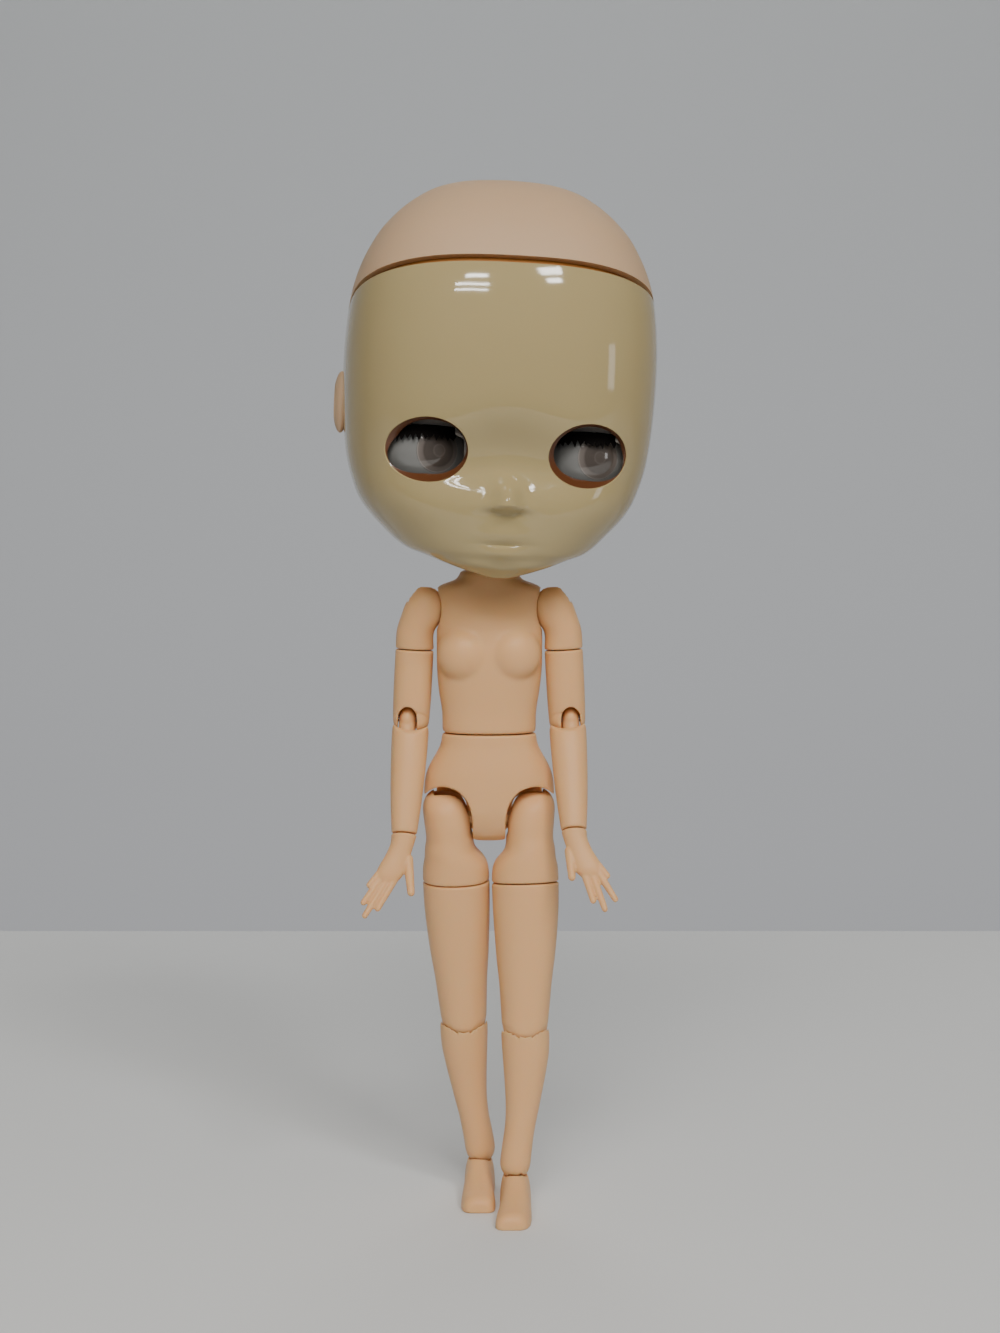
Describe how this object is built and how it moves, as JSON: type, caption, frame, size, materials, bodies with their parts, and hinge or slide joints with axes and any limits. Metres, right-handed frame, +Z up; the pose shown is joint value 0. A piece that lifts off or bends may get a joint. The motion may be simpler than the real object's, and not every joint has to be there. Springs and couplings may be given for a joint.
{
  "type": "fashion doll",
  "caption": "Jointed fashion doll without hair or clothes: an oversized glossy head with turning eyes and moving lids on a slim body with hinged limbs",
  "frame": {"origin": "on the floor under the middle of the outline", "axes": "+Z up through the head, -Y the way the face looks, +X the doll's left"},
  "size_m": [0.0964, 0.085, 0.2998],
  "materials": {
    "body_plastic": "satin moulded vinyl",
    "face_plastic": "high gloss moulded",
    "scalp_plastic": "fine matte",
    "eye_white": "gloss",
    "eye_disc": "clear-coated grey brown",
    "lid_paint": "matte paint",
    "lash_fibre": "black fibre strip",
    "inner_plastic": "as moulded",
    "steel": "plain wire and screw steel"
  },
  "bodies": {
    "pelvis": {"pelvis_front": "body_plastic", "pelvis_back": "body_plastic"},
    "torso": {"chest_front": "body_plastic", "chest_back": "body_plastic", "waist_peg": "inner_plastic"},
    "neck": {"neck_post": "body_plastic"},
    "head": {"face_plate": "face_plastic", "back_head": "scalp_plastic", "scalp_dome": "scalp_plastic", "eye_frame": "inner_plastic", "return_spring": "steel", "left_head_screw": "steel", "right_head_screw": "steel", "upper_frame_screw": "steel", "lower_frame_screw": "steel"},
    "eyes": {"eye_axle": "steel", "left_eyeball": "eye_white", "right_eyeball": "eye_white", "left_eye_disc_1": "eye_disc", "left_eye_disc_2": "eye_disc", "left_eye_disc_3": "eye_disc", "left_eye_disc_4": "eye_disc", "right_eye_disc_1": "eye_disc", "right_eye_disc_2": "eye_disc", "right_eye_disc_3": "eye_disc", "right_eye_disc_4": "eye_disc"},
    "eyelids": {"left_eyelid": "lid_paint", "right_eyelid": "lid_paint", "left_lashes": "lash_fibre", "right_lashes": "lash_fibre", "lid_bar": "inner_plastic"},
    "left_shoulder_link": {"left_shoulder_link": "body_plastic"},
    "left_shoulder_cap": {"left_shoulder_cap": "body_plastic"},
    "left_hand": {"left_hand": "body_plastic"},
    "left_hip_link": {"left_hip_link": "body_plastic"},
    "left_upper_thigh": {"left_upper_thigh": "body_plastic"},
    "left_foot": {"left_foot": "body_plastic"},
    "left_upper_arm": {"left_upper_arm": "body_plastic", "left_elbow_pin": "steel"},
    "left_forearm": {"left_forearm": "body_plastic"},
    "left_thigh": {"left_thigh": "body_plastic", "left_knee_pin": "steel"},
    "left_calf": {"left_calf": "body_plastic", "left_ankle_pin": "steel"},
    "right_shoulder_link": {"right_shoulder_link": "body_plastic"},
    "right_shoulder_cap": {"right_shoulder_cap": "body_plastic"},
    "right_hand": {"right_hand": "body_plastic"},
    "right_hip_link": {"right_hip_link": "body_plastic"},
    "right_upper_thigh": {"right_upper_thigh": "body_plastic"},
    "right_foot": {"right_foot": "body_plastic"},
    "right_upper_arm": {"right_upper_arm": "body_plastic", "right_elbow_pin": "steel"},
    "right_forearm": {"right_forearm": "body_plastic"},
    "right_thigh": {"right_thigh": "body_plastic", "right_knee_pin": "steel"},
    "right_calf": {"right_calf": "body_plastic", "right_ankle_pin": "steel"}
  },
  "joints": [
    {"name": "waist_turn", "type": "hinge", "parent": "pelvis", "child": "torso", "pos_m": [-0.0013, -0.00114, 0.13962], "axis": [0, 0, 1], "range_deg": [-30, 30]},
    {"name": "neck_nod", "type": "hinge", "parent": "torso", "child": "neck", "pos_m": [-0.0013, -0.00114, 0.17832], "axis": [0.999, 0, -0.0436], "range_deg": [-8, 8]},
    {"name": "head_turn", "type": "hinge", "parent": "neck", "child": "head", "pos_m": [-0.0013, -0.00114, 0.17832], "axis": [0.0436, 0, 0.999], "range_deg": [-70, 70]},
    {"name": "eye_turn", "type": "hinge", "parent": "head", "child": "eyes", "pos_m": [0.00233, -0.01795, 0.22101], "axis": [0.9936, 0.1045, -0.0434], "continuous": true},
    {"name": "eyelids_close", "type": "hinge", "parent": "head", "child": "eyelids", "pos_m": [0.00233, -0.01795, 0.22101], "axis": [0.9936, 0.1045, -0.0434], "range_deg": [-6, 54], "stiffness_Nm_per_rad": 0.004},
    {"name": "left_shoulder_swing", "type": "hinge", "parent": "torso", "child": "left_shoulder_link", "pos_m": [0.0199, -0.00114, 0.17622], "axis": [-1, 0, 0], "range_deg": [-50, 95]},
    {"name": "left_shoulder_raise", "type": "hinge", "parent": "left_shoulder_link", "child": "left_shoulder_cap", "pos_m": [0.0199, -0.00114, 0.17622], "axis": [0, -1, 0], "range_deg": [0, 80]},
    {"name": "left_upper_arm_turn", "type": "hinge", "parent": "left_shoulder_cap", "child": "left_upper_arm", "pos_m": [0.02161, -0.00114, 0.14367], "axis": [0.0523, 0, -0.9986], "range_deg": [-90, 12]},
    {"name": "left_elbow", "type": "hinge", "parent": "left_upper_arm", "child": "left_forearm", "pos_m": [0.02161, -0.00114, 0.14367], "axis": [0.9986, 0, 0.0523], "range_deg": [-42, 24]},
    {"name": "left_wrist_turn", "type": "hinge", "parent": "left_forearm", "child": "left_hand", "pos_m": [0.02322, -0.0168, 0.11297], "axis": [-0.0466, 0.454, 0.8898], "range_deg": [-80, 80]},
    {"name": "left_hip_swing", "type": "hinge", "parent": "pelvis", "child": "left_hip_link", "pos_m": [0.0107, -0.00114, 0.11382], "axis": [-1, 0, 0], "range_deg": [-20, 70]},
    {"name": "left_hip_splay", "type": "hinge", "parent": "left_hip_link", "child": "left_upper_thigh", "pos_m": [0.0107, -0.00114, 0.11382], "axis": [0, -0.9969, 0.0785], "range_deg": [0, 35]},
    {"name": "left_thigh_turn", "type": "hinge", "parent": "left_upper_thigh", "child": "left_thigh", "pos_m": [0.00935, -0.00257, 0.09564], "axis": [0.0244, -0.0784, -0.9966], "range_deg": [-18, 5]},
    {"name": "left_knee", "type": "hinge", "parent": "left_thigh", "child": "left_calf", "pos_m": [0.00927, -0.00585, 0.05396], "axis": [0.9997, 0.0019, 0.0244], "range_deg": [0, 84]},
    {"name": "left_ankle", "type": "hinge", "parent": "left_calf", "child": "left_foot", "pos_m": [0.00638, -0.00911, 0.0126], "axis": [0.9997, 0.0019, 0.0244], "range_deg": [-14, 28]},
    {"name": "right_shoulder_swing", "type": "hinge", "parent": "torso", "child": "right_shoulder_link", "pos_m": [-0.0225, -0.00114, 0.17622], "axis": [-1, 0, 0], "range_deg": [-50, 95]},
    {"name": "right_shoulder_raise", "type": "hinge", "parent": "right_shoulder_link", "child": "right_shoulder_cap", "pos_m": [-0.0225, -0.00114, 0.17622], "axis": [0, 1, 0], "range_deg": [0, 80]},
    {"name": "right_upper_arm_turn", "type": "hinge", "parent": "right_shoulder_cap", "child": "right_upper_arm", "pos_m": [-0.0242, -0.00114, 0.14367], "axis": [0.0523, 0, 0.9986], "range_deg": [-90, 12]},
    {"name": "right_elbow", "type": "hinge", "parent": "right_upper_arm", "child": "right_forearm", "pos_m": [-0.0242, -0.00114, 0.14367], "axis": [0.9986, 0, -0.0523], "range_deg": [-49, 17]},
    {"name": "right_wrist_turn", "type": "hinge", "parent": "right_forearm", "child": "right_hand", "pos_m": [-0.0259, -0.01294, 0.11129], "axis": [0.0492, 0.342, 0.9384], "range_deg": [-80, 80]},
    {"name": "right_hip_swing", "type": "hinge", "parent": "pelvis", "child": "right_hip_link", "pos_m": [-0.0133, -0.00114, 0.11382], "axis": [-1, 0, 0], "range_deg": [-20, 70]},
    {"name": "right_hip_splay", "type": "hinge", "parent": "right_hip_link", "child": "right_upper_thigh", "pos_m": [-0.0133, -0.00114, 0.11382], "axis": [0, 0.9969, 0.0785], "range_deg": [0, 35]},
    {"name": "right_thigh_turn", "type": "hinge", "parent": "right_upper_thigh", "child": "right_thigh", "pos_m": [-0.01105, 0.00028, 0.09573], "axis": [-0.0244, -0.0784, 0.9966], "range_deg": [-35, 2]},
    {"name": "right_knee", "type": "hinge", "parent": "right_thigh", "child": "right_calf", "pos_m": [-0.00893, 0.00356, 0.0541], "axis": [0.9997, -0.0019, 0.0244], "range_deg": [0, 84]},
    {"name": "right_ankle", "type": "hinge", "parent": "right_calf", "child": "right_foot", "pos_m": [-0.00402, 0.0068, 0.01293], "axis": [0.9997, -0.0019, 0.0244], "range_deg": [-14, 28]}
  ]
}
